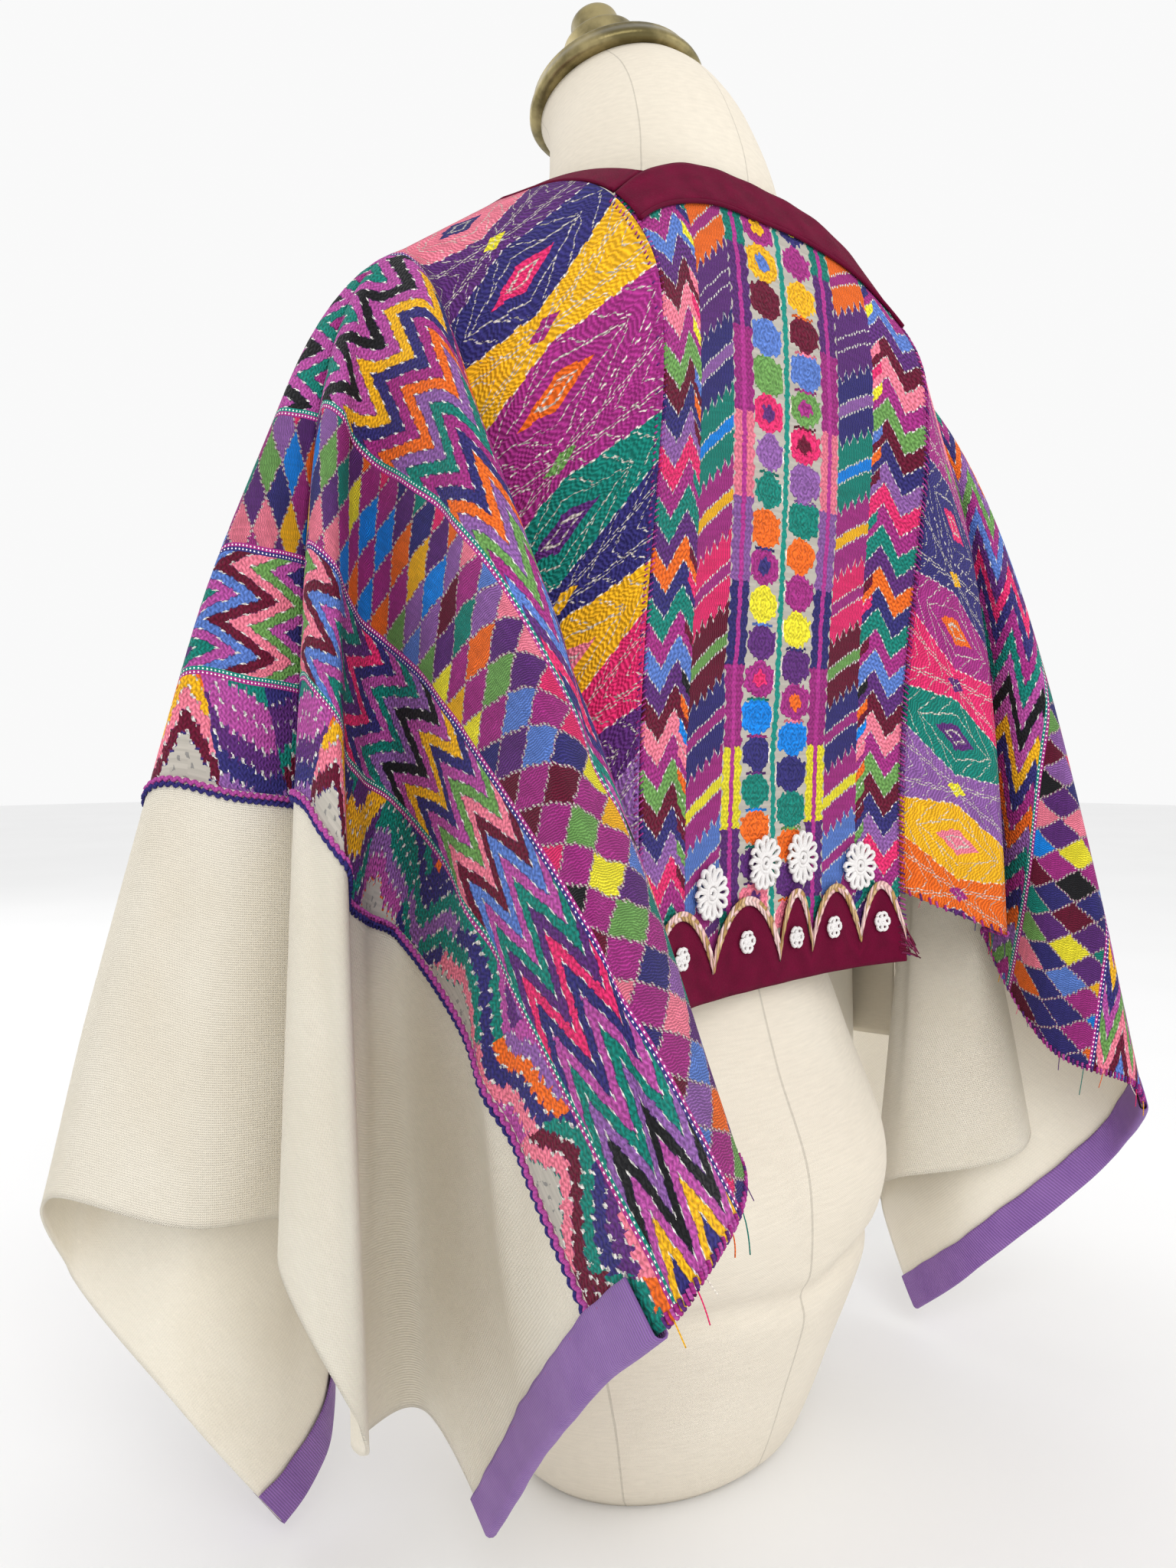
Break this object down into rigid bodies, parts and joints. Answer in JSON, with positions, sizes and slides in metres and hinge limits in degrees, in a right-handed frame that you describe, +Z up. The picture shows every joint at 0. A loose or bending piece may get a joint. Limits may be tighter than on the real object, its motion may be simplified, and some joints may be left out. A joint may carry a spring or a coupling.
{
  "type": "poncho and dress form",
  "caption": "Brocaded poncho in long panels with velvet neck and hem bands, crocheted flowers and ribbon-bound ends, worn on a limbless dress form.",
  "frame": {"origin": "on the flat underside of the dress form, under its neck's side-to-side centre plane", "axes": "+Z up, the wearer faces -Y, the wearer's left is +X"},
  "size_m": [0.8202, 0.5225, 0.9969],
  "materials": {
    "form_linen": "plain linen",
    "aged_brass": "aged",
    "brocade": "brocaded weave",
    "burgundy_velvet": "velvet",
    "pink_braid": "braid",
    "white_crochet": "crochet",
    "lilac_ribbon": "grosgrain"
  },
  "bodies": {
    "root": {"blossom_back_1": "white_crochet", "blossom_back_2": "white_crochet", "blossom_back_3": "white_crochet", "blossom_back_4": "white_crochet", "blossom_back_5": "white_crochet", "blossom_front_1": "white_crochet", "blossom_front_2": "white_crochet", "blossom_front_3": "white_crochet", "blossom_front_4": "white_crochet", "blossom_front_5": "white_crochet", "daisy_back_1": "white_crochet", "daisy_back_2": "white_crochet", "daisy_back_3": "white_crochet", "daisy_back_4": "white_crochet", "daisy_front_1": "white_crochet", "daisy_front_2": "white_crochet", "daisy_front_3": "white_crochet", "daisy_front_4": "white_crochet", "form_body": "form_linen", "form_cap": "aged_brass", "form_knob": "aged_brass", "hem_band_back": "burgundy_velvet", "hem_band_front": "burgundy_velvet", "hem_braid_back": "pink_braid", "hem_braid_front": "pink_braid", "neck_band_back": "burgundy_velvet", "neck_band_front": "burgundy_velvet", "neck_band_left": "burgundy_velvet", "neck_band_right": "burgundy_velvet", "panel_back": "brocade", "panel_front": "brocade", "ribbon_left_back": "lilac_ribbon", "ribbon_left_front": "lilac_ribbon", "ribbon_right_back": "lilac_ribbon", "ribbon_right_front": "lilac_ribbon", "wing_left_back": "brocade", "wing_left_front": "brocade", "wing_right_back": "brocade", "wing_right_front": "brocade"}
  },
  "joints": []
}
